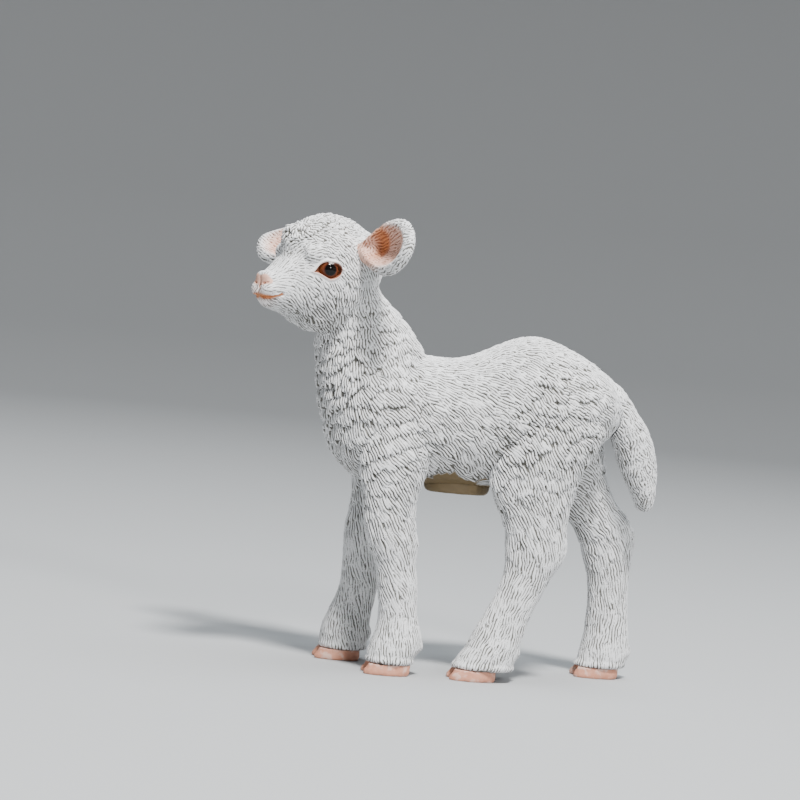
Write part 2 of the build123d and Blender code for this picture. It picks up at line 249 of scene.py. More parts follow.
def move_points(mesh, points):
    mesh.vertices.foreach_set("co", (points * mm).astype(np.float32).ravel())
    mesh.update()


def normals_of(mesh):
    return read(mesh.vertex_normals, "vector", 3).astype(float)


def edges_of(mesh):
    return read(mesh.edges, "vertices", 2, np.int32)


def mark_points(mesh, name, values):
    """Keeps one value for each vertex under this name, where a material can read it."""
    values = np.asarray(values, np.float32)
    mesh.attributes.new(name, "FLOAT", "POINT").data.foreach_set("value", values)


def shade_smooth(mesh):
    mesh.polygons.foreach_set("use_smooth", np.ones(len(mesh.polygons), bool))


# %% Smoothing
def smoothed(values, edges, times, strength=0.5):
    """Values on vertices, each moved towards the middle of its neighbours."""
    values = values.reshape(len(values), -1)
    first, second = edges.T
    count = np.bincount(edges.ravel(), minlength=len(values)).clip(1)[:, None]
    for _ in range(times):
        total = np.empty_like(values)
        for i in range(values.shape[1]):
            total[:, i] = np.bincount(first, values[second, i], len(values))
            total[:, i] += np.bincount(second, values[first, i], len(values))
        values = values + strength * (total / count - values)
    return values


def softened(mask, edges, times):
    """One value for each vertex, blurred over its neighbours."""
    return smoothed(mask * 1.0, edges, times)[:, 0]


def soft_normals(mesh, edges, times):
    return unit(smoothed(normals_of(mesh), edges, times))


def evened(points, edges, rounds):
    """Smoothing that doesn't shrink the shape: each step in is followed by a step out."""
    for _ in range(rounds):
        points = smoothed(points, edges, 1, 0.5)
        points = smoothed(points, edges, 1, -0.52)
    return points


def unit(vectors):
    return vectors / np.linalg.norm(vectors, axis=-1, keepdims=True).clip(1e-9)


def ease(values, low, high):
    """0 below low, 1 above high and smooth in between."""
    share = np.clip((values - low) / (high - low), 0, 1)
    return share * share * (3 - 2 * share)


# %% The skin
voxel = 0.42

def copy_of(nodes, name):
    """One new object from copies of these castings, which stay as they are."""
    joined = bmesh.new()
    for node in nodes:
        joined.from_mesh(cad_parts[node].data)
    bmesh.ops.remove_doubles(joined, verts=joined.verts, dist=0.001 * mm)
    mesh = bpy.data.meshes.new(name)
    joined.to_mesh(mesh)
    joined.free()
    return placed(name, mesh)


def modified(piece, kind, **settings):
    """Gives the piece the mesh that this modifier makes of it."""
    modifier = piece.modifiers.new(kind, kind)
    for key, value in settings.items():
        setattr(modifier, key, value)
    graph = bpy.context.evaluated_depsgraph_get()
    made = bpy.data.meshes.new_from_object(piece.evaluated_get(graph))
    piece.modifiers.clear()
    before, piece.data = piece.data, made
    bpy.data.meshes.remove(before)


skinned = ["body_casting", "head_casting", "left_ear", "right_ear", "tail"] + [f"{leg}_leg" for leg in legs]
skin_nodes = skinned + ["belly_plug", "left_eye", "right_eye"]
skin = copy_of(skin_nodes, "skin")
modified(skin, "REMESH", mode="VOXEL", voxel_size=voxel * mm)
skin_edges = edges_of(skin.data)
skin_points = evened(smoothed(points_of(skin.data), skin_edges, 5), skin_edges, 4)
move_points(skin.data, skin_points)
print("skin", len(skin.data.vertices), "vertices")

# %% Which casting each face belongs to
def nearest_node(places, nodes):
    """For each place in millimetres, the number of the casting whose surface is nearest."""
    corners, faces, owner = [], [], []
    for i, node in enumerate(nodes):
        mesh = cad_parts[node].data
        start = len(corners)
        corners += [vertex.co.copy() for vertex in mesh.vertices]
        rows = read(mesh.polygons, "vertices", 3, np.int32) + start
        faces += rows.tolist()
        owner += [i] * len(rows)
    tree = BVHTree.FromPolygons(corners, faces)
    return np.array([owner[tree.find_nearest(Vector(p))[2]] for p in places * mm], np.int32)


face_middles = read(skin.data.polygons, "center", 3).astype(float) / mm
owners = nearest_node(face_middles, skin_nodes)
skin.data.attributes.new("owner", "INT", "FACE").data.foreach_set("value", owners)
print({node: int((owners == i).sum()) for i, node in enumerate(skin_nodes)})

# %% [markdown]
# ## Finer squares
# A lock of wool is 2 to 4 mm wide and its strands are under 1 mm, so the squares are halved once all
# over. Round the eyes and on the muzzle they are halved again, because lids and nostrils are finer still.

# %% Finer squares
def box_middle(node):
    low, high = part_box(node)
    return np.array((low + high) / 2) / mm


eye_middles = {name: box_middle(f"{name}_eye") for name in sides}
eyes_middle = (eye_middles["left"] + eye_middles["right"]) / 2
leftward = unit(eye_middles["left"] - eye_middles["right"])
forward = np.cross(leftward, up)
eye_span = np.linalg.norm(eye_middles["left"] - eye_middles["right"]) / 2
eye_radius = (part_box("left_eye")[1].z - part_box("left_eye")[0].z) / mm / 2


def head_place(ahead, out, rise):
    """A place on the head, from the middle between the eyes, in shares of half their distance."""
    return eyes_middle + eye_span * (forward * ahead + leftward * out + up * rise)


def head_shares(points):
    """The same shares for many points: ahead, out to the left, and up."""
    apart = points - eyes_middle
    return np.stack([apart @ forward, apart @ leftward, apart @ up], axis=1) / eye_span


def lump(places, middle, radii):
    """1 in the middle of an oval and 0 at its edge, smooth in between."""
    distance = np.linalg.norm((places - np.array(middle)) / np.array(radii), axis=1)
    return 1 - ease(distance, 0.0, 1.0)


def refined(piece, places, reaches):
    """Halves the squares of a mesh that lie within reach of these places."""
    corners = points_of(piece.data)
    near = np.zeros(len(corners), bool)
    for place, reach in zip(places, reaches):
        near |= np.linalg.norm(corners - place, axis=1) < reach
    ends = edges_of(piece.data)
    chosen = np.flatnonzero(near[ends].all(axis=1))
    mesh = bmesh.new()
    mesh.from_mesh(piece.data)
    mesh.edges.ensure_lookup_table()
    inside = [mesh.edges[i] for i in chosen]
    bmesh.ops.subdivide_edges(mesh, edges=inside, cuts=1, use_grid_fill=True, smooth=0)
    mesh.to_mesh(piece.data)
    mesh.free()


# The castings have a plain cut for the mouth, which the finer mouth replaces
coarse, coarse_edges = points_of(skin.data), edges_of(skin.data)
mouth_zone = lump(head_shares(coarse), (1.55, 0.0, -0.96), (1.1, 0.95, 0.30))
softer = smoothed(coarse, coarse_edges, 16)
move_points(skin.data, coarse + (softer - coarse) * ease(mouth_zone, 0.0, 0.35)[:, None])

modified(skin, "SUBSURF", levels=1, render_levels=1)
fine_places = list(eye_middles.values()) + [head_place(1.55, 0.0, -0.72)]
refined(skin, fine_places, [eye_radius * 2.2, eye_radius * 2.2, eye_span * 0.8])
print("finer skin", len(skin.data.vertices), "vertices")

# %% [markdown]
# ## The face
# The carver cut the eyes as almond openings with a raised lid, a small nose pad of two lobes with
# nostrils, full lips and a fine mouth line. Each of them is a soft lump or a groove, so each one is a
# distance from a place or a line, turned into a push along the surface. The same distances paint them.

# %% Lumps and grooves
points = points_of(skin.data)
edges = edges_of(skin.data)
normals = soft_normals(skin.data, edges, 4)

# The wool of the head changes its shape: which way and how far in millimetres, and then an oval of the
# head in shares. Shares of both count outward on either side alike.
head = head_shares(points)
both = head * [1, 0, 1] + np.abs(head) * [0, 1, 0]
swells = [
    ("forelock", forward, 5.2, head, (0.85, 0.0, 0.98), (1.25, 1.15, 0.75)),
    ("forelock tip", forward + up * 0.3, 2.5, head, (0.72, 0.0, 1.25), (0.7, 0.9, 0.42)),
    ("crown", -up, 1.1, head, (-0.1, 0.0, 1.8), (1.1, 1.1, 0.6)),
    ("crown back", -up, 4.5, both, (-1.40, 0.7, 1.40), (1.1, 1.3, 0.9)),
    ("nape", forward, 3.4, both, (-2.50, 0.5, -0.6), (1.1, 1.5, 1.2)),
    ("nose bridge", -normals, 1.0, head, (1.45, 0.0, 0.22), (0.7, 0.6, 0.6)),
    ("jaw", up * 0.8 - forward * 0.6, 1.6, head, (0.75, 0.0, -1.72), (0.8, 1.1, 0.6)),
    ("cheek wool", normals, 0.8, both, (0.15, 0.75, -1.75), (0.8, 0.5, 0.4)),
]
for name, way, height, shares, middle, radii in swells:
    points += way * (height * lump(shares, middle, radii))[:, None]
print("swells", [row[0] for row in swells])

# The far ear droops at its top
ear_droop = 2.1
ear_low, ear_high = (corner.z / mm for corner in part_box("right_ear"))
droop = ease(points[:, 2], (ear_low + ear_high) / 2, ear_high) * (head[:, 1] < -0.9)
points -= up * (ear_droop * droop * ease(-head[:, 1], 0.9, 1.5))[:, None]

# %% Tail and legs
point_owner = np.zeros(len(points), np.int32)
corner_vertex = read(skin.data.loops, "vertex_index", 1, np.int32)
face_owner = read(skin.data.attributes["owner"].data, "value", 1, np.int32)
face_size = read(skin.data.polygons, "loop_total", 1, np.int32)
point_owner[corner_vertex] = np.repeat(face_owner, face_size)


def owned_by(node):
    return point_owner == skin_nodes.index(node)


# The tail is fuller at its front, and a crease parts each leg from the trunk
tail_swell = 1.1
crease_depth = 0.9
on_tail = softened(owned_by("tail"), edges, 12)
points += normals * (tail_swell * on_tail * (1 - normals[:, 0]))[:, None]
leg_owned = (point_owner >= skin_nodes.index("front_left_leg")) & (point_owner < len(skinned))
on_leg = softened(leg_owned, edges, 8)
low_enough = 1 - ease(points[:, 2], 72.0, 86.0)
crease = np.exp(-((on_leg - 0.5) / 0.30) ** 2) * low_enough * (points[:, 2] > 50)
points -= normals * (crease_depth * crease)[:, None]

# A tuft stands out behind each fetlock, over a notch above the heel
fetlock_height = 9.0
tuft_depth = 0.9
notch_depth = 0.6
for leg in legs:
    ring = casting_points(f"{leg}_leg")
    ring = ring[np.abs(ring[:, 2] - fetlock_height) < 3.0]
    back = np.array([ring[:, 0].max(), (ring[:, 1].min() + ring[:, 1].max()) / 2, fetlock_height])
    tuft = tuft_depth * lump(points, back, (3.5, 5.0, 3.0))
    tuft -= notch_depth * lump(points, back - [0, 0, 3.8], (3.5, 5.0, 2.0))
    points += normals * (tuft * normals[:, 0].clip(0, 1))[:, None]
move_points(skin.data, points)
normals = soft_normals(skin.data, edges, 4)
smooth_points = points.copy()
painted = ("groove", "blush", "rust", "salmon", "underside_shade")
marks = {name: np.zeros(len(points)) for name in (*painted, "bare")}


def line_distance(places, corners):
    """How far each place is from a line through these corners."""
    nearest = np.full(len(places), np.inf)
    for start, end in zip(np.array(corners[:-1]), np.array(corners[1:])):
        along = end - start
        share = np.clip((places - start) @ along / (along @ along), 0, 1)[:, None]
        nearest = np.minimum(nearest, np.linalg.norm(places - start - share * along, axis=1))
    return nearest


def paint_on(name, mask):
    marks[name] = np.maximum(marks[name], mask)


# %% Nose, lips and mouth
head = head_shares(points)
on_head = (np.abs(head) < 3).all(axis=1) & (head[:, 0] > -1.2)
both = head * [1, 0, 1] + np.abs(head) * [0, 1, 0]
nose_lobe = lump(both, (1.76, 0.17, -0.50), (0.40, 0.28, 0.28))
nose_wing = lump(both, (1.66, 0.33, -0.58), (0.24, 0.15, 0.17))
nostril = lump(both, (1.84, 0.21, -0.60), (0.28, 0.10, 0.055))
nostril_tail = lump(both, (1.72, 0.31, -0.58), (0.22, 0.07, 0.05))
upper_lip = lump(both, (1.66, 0.24, -0.88), (0.42, 0.30, 0.20))
lower_lip = lump(both, (1.58, 0.12, -1.17), (0.40, 0.32, 0.15))
cleft = 1 - ease(line_distance(both, [(1.95, 0, -0.52), (1.95, 0, -0.98)]), 0.03, 0.26)
cleft = cleft * (1 - ease(np.abs(both[:, 1]), 0.02, 0.08)) * (head[:, 0] > 1.3)
mouth_line = [
    (1.92, 0.0, -1.02),
    (1.80, 0.30, -1.05),
    (1.62, 0.45, -1.04),
    (1.46, 0.54, -0.98),
    (1.34, 0.58, -0.91),
]
mouth_distance = line_distance(both, mouth_line)
mouth = 1 - ease(mouth_distance, 0.015, 0.085)
push = 0.55 * nose_lobe + 0.40 * nose_wing + 0.30 * upper_lip + 0.20 * lower_lip
push = push - 1.0 * nostril - 0.6 * nostril_tail - 0.35 * cleft - 0.85 * mouth
points += normals * (push * on_head)[:, None]
points -= forward * (0.5 * lump(head, (1.9, 0.0, -0.55), (0.55, 0.7, 0.45)))[:, None]
nose_pink = ease(nose_lobe + nose_wing + 0.8 * cleft * (head[:, 2] > -0.76), 0.10, 0.40)
paint_on("blush", nose_pink * on_head)
paint_on("blush", 0.35 * lump(both, (1.7, 0.1, -0.95), (0.7, 0.6, 0.55)) * on_head)
lip_width = 0.055 + 0.085 * ease(head[:, 0], 1.45, 1.85)
paint_on("salmon", (1 - ease(mouth_distance / lip_width, 0.5, 1.2)) * on_head)
paint_on("rust", 0.45 * (1 - ease(mouth_distance / lip_width, 0.1, 0.6)) * on_head)
paint_on("rust", 0.75 * ease(nostril, 0.3, 0.9) * on_head)
muzzle_bare = ease(nose_lobe + nose_wing + 0.6 * upper_lip + 0.5 * lower_lip + mouth, 0.05, 0.5)
paint_on("bare", muzzle_bare * on_head)
print("muzzle pushed between", round(push.min(), 2), "and", round(push.max(), 2), "mm")

# %% Eyelids
def eye_frame(name):
    """The place of an eye, its way out, its way to the nose and its way up."""
    middle = eye_middles[name]
    near = np.linalg.norm(smooth_points - middle, axis=1) < eye_radius * 1.5
    out = unit(normals[near].mean(axis=0))
    ahead = unit(forward - out * (forward @ out))
    ahead = unit(ahead - 0.10 * up)
    return middle, out, ahead, unit(np.cross(ahead, out) * sides[name])


eye_frames = {name: eye_frame(name) for name in sides}
inner_corner = 5.0
outer_corner = 3.7
eye_half_height = 2.45
upper_lid = 0.95
lower_lid = 0.38
fold_depth = 0.50

for name, (middle, out, ahead, above) in eye_frames.items():
    apart = smooth_points - middle
    x, y, z = apart @ ahead, apart @ above, apart @ out
    near = (np.linalg.norm(apart, axis=1) < eye_radius * 3) & (z > 0)
    reach = np.where(x > 0, inner_corner, outer_corner)
    share = np.clip(np.abs(x) / reach, 0, 1)
    tilt = -0.40 - 0.03 * x
    above_line = y > tilt
    pointed = np.where(above_line, (1 - share ** 3) ** 1.2, (1 - share ** 1.6) ** 1.9)
    rounded_end = np.sqrt(1 - share ** 2)
    height = eye_half_height * np.where(x > 0, pointed, rounded_end)
    height += 0.30 * above_line * ease(x, -0.5, 1.2) * ease(share, 1.0, 0.6)
    inside = height - np.abs(y - tilt) - 3.0 * np.clip(np.abs(x) / reach - 1, 0, None)
    sunk = ease(inside, -0.12, 0.45)
    upper = np.exp(-((inside + 0.50) / 0.46) ** 2) * above_line
    lower = np.exp(-((inside + 0.38) / 0.34) ** 2) * ~above_line
    fold = np.exp(-((inside + 1.50) / 0.38) ** 2) * ease(y, 0.2, 1.2) * (1 - ease(x, -0.5, 2.2))
    ball_top = np.sqrt((eye_radius ** 2 - x ** 2 - y ** 2).clip(0.2)) - 0.6
    deepest = 2.2 - 1.2 * ease(np.abs(x), 2.4, 4.0)
    hole = np.clip(z - ball_top, 0.9, deepest) * sunk
    roll = upper_lid - 0.60 * ease(x, -1.0, 2.2)
    points += (near * (roll * upper + lower_lid * lower - fold_depth * fold - hole))[:, None] * out
    paint_on("rust", near * ease(inside, -0.34, -0.02))
    paint_on("blush", near * np.where(above_line, 0.35, 0.55) * ease(inside, -1.0, -0.35))
    # Painted shade in the crease of the fold above each eye
    paint_on("groove", near * 0.4 * fold)
    paint_on("bare", near * ease(inside, -1.9, -1.1))
print("eyes look out along", {name: [round(float(v), 2) for v in f[1]] for name, f in eye_frames.items()})

# %% [markdown]
# ## The ears
# Each ear is a cup with a thick rim. The hollow is sprayed salmon pink, deepest at its bottom. An ear
# is flat, so the three main directions of its points give its length, its width and the way it opens.

# %% Ear hollows
def long_axes(places):
    """The middle of some places and their three main directions, the longest first."""
    middle = places.mean(axis=0)
    rows = np.linalg.svd(places - middle, full_matrices=False)[2]
    return middle, rows


slit_depth = 0.8
ear_axes = {}
for name, side in sides.items():
    castings = casting_points(f"{name}_ear")
    middle, (along, across, opening) = long_axes(castings)
    along = along * np.sign(along @ (middle - eyes_middle))
    opening = opening * np.sign(opening @ forward)
    length = np.ptp(castings @ along)
    width = np.ptp(castings @ across)
    ear_axes[name] = (along, opening)
    apart = smooth_points - middle
    root = (castings @ along).min() - middle @ along
    run = (apart @ along - root) / length
    aside = (apart @ across) / (width / 2)
    height = aside * np.sign(across @ up)
    inside = np.hypot((run - 0.46) / 0.46, height / 0.86)
    mine = owned_by(f"{name}_ear")
    facing = ease(normals @ opening, -0.10, 0.30)
    hollow = mine * facing * (1 - ease(inside, 0.74, 1.10))
    deep = np.hypot((run - 0.37 - 0.05 * height) / 0.13, (height - 0.22) / 0.90)
    slit = hollow * (1 - ease(deep, 0.2, 1.0))
    points -= opening * (slit_depth * slit)[:, None]
    paint_on("blush", 0.9 * hollow)
    paint_on("salmon", slit)
    print(name, "ear", round(length, 1), "by", round(width, 1), "mm")

# %% [markdown]
# ## The coat
# The carver followed how wool lies on a lamb: down the neck, slanting back over the flanks, down the
# legs and along the tail. Short notes say at a few places which way the locks lie and how large they
# are. Between the notes, each lock takes a mean of them in which the near ones count most.

# %% Which way the wool lies
trunk_low, trunk_high = (np.array(corner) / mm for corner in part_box("body_casting"))
trunk_size = trunk_high - trunk_low
notes = []


def note(place, way, length, width, height, wave=0.4, comb=0.32, rows=0.0):
    """At this place the locks lie this way. All sizes are in millimetres."""
    notes.append((*place, *unit(np.array(way, float)), length, width, height, wave, comb, rows))


# Along the trunk and up it as shares, then the way back and up, then a lock's length, width, height, wave,
# comb depth, and how far the locks stand in rows
trunk_notes = [
    (0.06, 0.84, 0.15, -1.00, 4.6, 3.4, 0.95, 0.5, 0.32, 1.0),
    (0.12, 0.66, 0.15, -1.00, 4.8, 3.6, 1.05, 0.5, 0.34, 1.0),
    (0.22, 0.80, 0.55, -1.00, 4.4, 3.2, 0.60, 0.5, 0.28, 0.8),
    (0.05, 0.40, 0.20, -1.00, 5.0, 3.6, 1.35, 0.5, 0.36, 1.0),
    (0.10, 0.18, 0.45, -1.00, 5.4, 3.6, 1.30, 0.5, 0.36, 1.0),
    (0.25, 0.55, 0.50, -1.00, 5.4, 3.4, 0.60, 0.5, 0.34, 0.8),
    (0.24, 0.26, 0.60, -0.90, 6.0, 3.4, 0.65, 0.5, 0.36, 0.6),
    (0.34, 0.12, 0.80, -0.75, 7.0, 3.2, 0.60, 0.5, 0.38, 0.2),
    (0.38, 0.50, 0.90, -0.60, 6.0, 3.0, 0.40, 0.6, 0.30, 0.0),
    (0.46, 0.34, 0.80, -0.70, 8.0, 3.0, 0.50, 0.5, 0.40, 0.0),
    (0.50, 0.12, 0.55, -0.90, 7.5, 3.0, 0.60, 0.4, 0.42, 0.0),
    (0.60, 0.48, 1.00, -0.45, 5.4, 3.0, 0.45, 0.6, 0.32, 0.0),
    (0.66, 0.30, 0.85, -0.75, 5.2, 3.8, 1.15, 0.4, 0.36, 1.0),
    (0.80, 0.48, 1.00, -0.50, 4.8, 3.4, 0.80, 0.4, 0.34, 0.8),
    (0.90, 0.32, 0.90, -0.65, 5.0, 3.8, 1.05, 0.4, 0.36, 1.0),
]
for along, rise, back, lift, *rest in trunk_notes:
    for side in sides.values():
        note(trunk_low + trunk_size * (along, 0.5 - 0.46 * side, rise), (back, 0, lift), *rest)

# Along the ridge of the neck, the back, the chest and the belly, in the same order
ridge_notes = [
    (0.24, 0.92, 0.5, -1.00, 4.2, 3.0, 0.60, 0.6, 0.28, 0.8),
    (0.36, 0.60, 1.0, -0.45, 5.0, 3.0, 0.40, 0.6, 0.26, 0.0),
    (0.48, 0.60, 1.0, 0.00, 5.4, 2.8, 0.40, 0.7, 0.26, 0.0),
    (0.62, 0.70, 1.0, 0.05, 5.0, 3.0, 0.45, 0.8, 0.26, 0.0),
    (0.76, 0.76, 1.0, -0.30, 4.8, 3.0, 0.50, 0.8, 0.26, 0.0),
    (0.90, 0.62, 0.8, -0.70, 5.0, 3.2, 0.60, 0.5, 0.30, 0.4),
    (0.00, 0.42, 0.0, -1.00, 5.0, 3.6, 1.50, 0.5, 0.36, 1.0),
    (0.02, 0.75, 0.0, -1.00, 4.6, 3.4, 1.15, 0.5, 0.34, 1.0),
    (0.10, 0.04, 0.6, -1.00, 5.4, 3.4, 0.90, 0.5, 0.36, 0.6),
    (0.50, 0.00, 1.0, -0.10, 5.0, 2.8, 0.40, 0.4, 0.30, 0.0),
]
for along, rise, back, lift, *rest in ridge_notes:
    note(trunk_low + trunk_size * (along, 0.5, rise), (back, 0, lift), *rest)
print(len(notes), "notes on the trunk")

# %% Wool on the legs, the tail and the ears
def middles_along(node, steps):
    """Places down the middle of a casting, from its low end to its high end."""
    places = casting_points(node)
    low, high = places[:, 2].min(), places[:, 2].max()
    half = (high - low) / steps / 2
    levels = np.linspace(low + half, high - half, steps)
    rows = [places[np.abs(places[:, 2] - level) < 2 * half] for level in levels]
    return np.array([(row.min(axis=0) + row.max(axis=0)) / 2 for row in rows])


# How far up the leg as a share, then a lock's length, width, height, comb depth and rows, and how much it
# slants back on a front leg and on a hind leg
leg_notes = np.array([
    (0.00, 4.5, 2.2, 0.24, 0.20, 0.0, 0.15, 0.05),
    (0.20, 8.0, 2.8, 0.20, 0.26, 0.0, 0.30, 0.08),
    (0.45, 9.0, 3.2, 0.36, 0.34, 0.0, 0.55, 0.20),
    (0.70, 6.0, 3.6, 0.85, 0.36, 0.6, 0.85, 0.70),
    (1.00, 5.5, 4.0, 1.10, 0.36, 1.0, 1.00, 0.95),
])
for leg in legs:
    down = middles_along(f"{leg}_leg", 14)
    for low, high in zip(down[:-1], down[1:]):
        place = (low + high) / 2
        rise = (place[2] - down[0][2]) / (down[-1][2] - down[0][2])
        found = [np.interp(rise, leg_notes[:, 0], column) for column in leg_notes.T[1:]]
        length, width, height, comb, rows, front_slant, hind_slant = found
        way = unit(low - high) + [front_slant if "front" in leg else hind_slant, 0, 0]
        for out in (-6.0, 6.0):
            note(place + [0, out, 0], way, length, width, height, 0.35, comb, rows)

tail_line = middles_along("tail", 8)
for low, high in zip(tail_line[:-1], tail_line[1:]):
    for out in (-4.0, 4.0):
        note((low + high) / 2 + [0, out, 0], low - high, 5.5, 2.6, 0.40, 1.0, 0.34)

# In an ear the strands run out from the slit to the rim, and behind it they run to the tip
for name in sides:
    places = casting_points(f"{name}_ear")
    along, opening = ear_axes[name]
    for share, ahead, rise in ((0.10, -0.7, -0.7), (0.45, 0.7, 0.6), (0.60, 0.8, 0.6), (0.85, 0.8, 0.5)):
        level = np.quantile(places @ along, share)
        place = places[np.abs(places @ along - level) < 2.0].mean(axis=0)
        note(place + opening * 3.0, along * ahead + up * rise, 3.6, 2.4, 0.12, 0.5, 0.30)
        note(place - opening * 3.0, along, 4.4, 2.6, 0.14, 0.7, 0.28)

# %% Wool on the head
# How far ahead, out and up as shares, then the way ahead, out and up, then a lock's length, width, height,
# wave and comb depth
face_notes = [
    (1.50, 0.20, -0.25, -1.0, 0.0, 0.8, 2.6, 1.6, 0.08, 0.3, 0.12),
    (1.50, 0.45, -0.60, -1.0, 0.2, 0.0, 2.6, 1.6, 0.08, 0.3, 0.14),
    (1.10, 0.25, 0.15, -1.0, 0.0, 0.8, 3.0, 1.8, 0.12, 0.4, 0.20),
    (0.75, 0.35, 0.55, -0.7, 0.3, 0.5, 3.0, 1.9, 0.24, 0.6, 0.24),
    (0.70, 0.90, 0.45, -1.0, 0.3, 0.2, 2.8, 1.7, 0.14, 0.4, 0.18),
    (0.90, 0.85, -0.40, -1.0, 0.2, -0.30, 3.4, 1.9, 0.18, 0.4, 0.25),
    (1.30, 0.40, -1.25, -1.0, 0.1, -0.3, 3.2, 1.8, 0.20, 0.4, 0.26),
    (0.60, 0.85, -1.05, -0.9, 0.0, -0.8, 4.2, 2.4, 0.45, 0.5, 0.34),
    (0.10, 1.10, -0.50, -0.8, 0.0, -0.7, 4.0, 2.2, 0.38, 0.5, 0.32),
    (0.00, 0.80, -1.50, -0.8, 0.0, -0.7, 4.6, 2.8, 1.10, 0.5, 0.36),
    (0.70, 0.20, -1.60, -0.8, 0.0, -0.5, 4.0, 2.4, 0.80, 0.5, 0.34),
    (0.80, 0.30, 1.20, 0.4, 0.4, -0.9, 3.0, 2.3, 1.20, 1.0, 0.30),
    (0.30, 0.60, 1.45, -0.3, 0.6, 0.2, 2.8, 2.2, 1.10, 1.2, 0.30),
    (-0.30, 0.40, 1.65, -0.8, 0.4, 0.0, 3.0, 2.3, 1.10, 1.2, 0.30),
    (-1.00, 0.30, 1.40, -0.9, 0.1, -0.6, 3.0, 2.4, 1.00, 1.2, 0.30),
    (0.00, 1.00, 1.00, -0.5, 0.4, -0.4, 2.8, 1.9, 0.45, 0.9, 0.26),
    (-0.60, 1.15, 0.40, -0.6, 0.0, -0.8, 3.4, 2.2, 0.50, 0.6, 0.28),
    (-1.20, 0.80, 0.40, -0.5, 0.0, -0.9, 4.0, 2.8, 0.60, 0.6, 0.30),
    (-1.30, 0.60, -0.80, -0.2, 0.0, -1.0, 4.4, 3.0, 0.70, 0.5, 0.32),
    (-0.60, 1.10, -1.20, -0.3, 0.0, -1.0, 4.4, 3.0, 0.70, 0.5, 0.32),
]
for ahead, out, rise, *rest in face_notes:
    for side in sides.values():
        way = forward * rest[0] + leftward * rest[1] * side + up * rest[2]
        note(head_place(ahead, out * side, rise), way, *rest[3:])
notes = np.array(notes)
print(len(notes), "notes in all")

# %% [markdown]
# ## Locks
# A lock is a comb stroke of the carver: a handful of strands that lie side by side, rise from their
# roots and end in a ragged step. The locks are spread by chance, but keep more room along the wool than
# across it. Where two overlap, the higher one shows, so they lie over each other like shingles.

# %% Chance and soft noise
chance = np.random.default_rng(7)


def noise(places, size, seed):
    """Smooth noise from -1 to 1, with swells of about this size."""
    cells = 32
    grid = np.random.default_rng(seed).uniform(-1, 1, (cells, cells, cells))
    place = places / size
    cell = np.floor(place).astype(int)
    part = place - cell
    part = part * part * (3 - 2 * part)
    total = np.zeros(len(places))
    for corner in product((0, 1), repeat=3):
        i, j, k = ((cell + corner) % cells).T
        weight = np.where(corner, part, 1 - part).prod(axis=1)
        total += weight * grid[i, j, k]
    return total


def coat_at(places):
    """The way, length, width, height, wave, comb depth and rows of the wool at these places."""
    batch = 20000
    found = np.empty((len(places), notes.shape[1] - 3), np.float32)
    spots, values = notes[:, :3].astype(np.float32), notes[:, 3:].astype(np.float32)
    for start in range(0, len(places), batch):
        rows = places[start:start + batch].astype(np.float32)
        apart = (rows ** 2).sum(axis=1)[:, None] + (spots ** 2).sum(axis=1) - 2 * rows @ spots.T
        weight = 1 / (apart.clip(0) + 4.0) ** 2
        found[start:start + batch] = weight @ values / weight.sum(axis=1, keepdims=True)
    found = found.astype(float)
    return found[:, :3], *found[:, 3:].T


def near_pairs(centres, places, reach):
    """Yields the numbers of centres and of the places within reach of them."""
    low = places.min(axis=0) - 2 * reach
    counts = (np.ptp(places, axis=0) / reach).astype(int) + 6
    strides = np.array([counts[1] * counts[2], counts[2], 1])
    cells = np.floor((places - low) / reach).astype(int) @ strides
    order = np.argsort(cells, kind="stable")
    filed = cells[order]
    home = np.floor((centres - low) / reach).astype(int) @ strides
    for step in product((-1, 0, 1), repeat=3):
        cell = home + np.array(step) @ strides
        first = np.searchsorted(filed, cell, "left")
        count = np.searchsorted(filed, cell, "right") - first
        centre = np.repeat(np.arange(len(cell)), count)
        offset = np.arange(len(centre)) - np.repeat(np.cumsum(count) - count, count)
        place = order[np.repeat(first, count) + offset]
        close = ((places[place] - centres[centre]) ** 2).sum(axis=1) < reach ** 2
        yield centre[close], place[close]


# %% Where the locks stand
coat_way, coat_length, coat_width, coat_height, coat_wave, coat_comb, coat_rows = coat_at(smooth_points)
hairless = (point_owner >= len(skinned)) | (marks["bare"] > 0.6)

# Under the belly the coat ends in a wavering line of tips, above a smooth brown strip
fringe_level = 63.6
fringe_swing = 2.2
fringe_wave = 17
belly_half_length = 24
tip_length = 1.6
trunk_middle = (trunk_low + trunk_high)[0] / 2
back_place, level = smooth_points[:, 0], smooth_points[:, 2]
fringe = fringe_level + fringe_swing * np.cos(2 * np.pi * (back_place + 1.2) / fringe_wave)
fringe += 0.6 * noise(smooth_points, 3.0, 12)
belly = owned_by("body_casting") & (level < fringe + tip_length)
belly &= np.abs(back_place - trunk_middle) < belly_half_length
hairless |= belly
first_end, second_end = edges.T
edge_length = np.linalg.norm(smooth_points[first_end] - smooth_points[second_end], axis=1)
edge_count = np.bincount(edges.ravel(), minlength=len(points)).clip(1)
edge_total = np.bincount(edges.ravel(), np.repeat(edge_length, 2), len(points))
room = (edge_total / edge_count) ** 2
likely = room / (coat_length * coat_width) * ~hairless
try_count = 50000
tries = chance.choice(len(points), try_count, replace=False, p=likely / likely.sum())


# %% Which places are kept
room_along = 0.50
room_across = 0.44


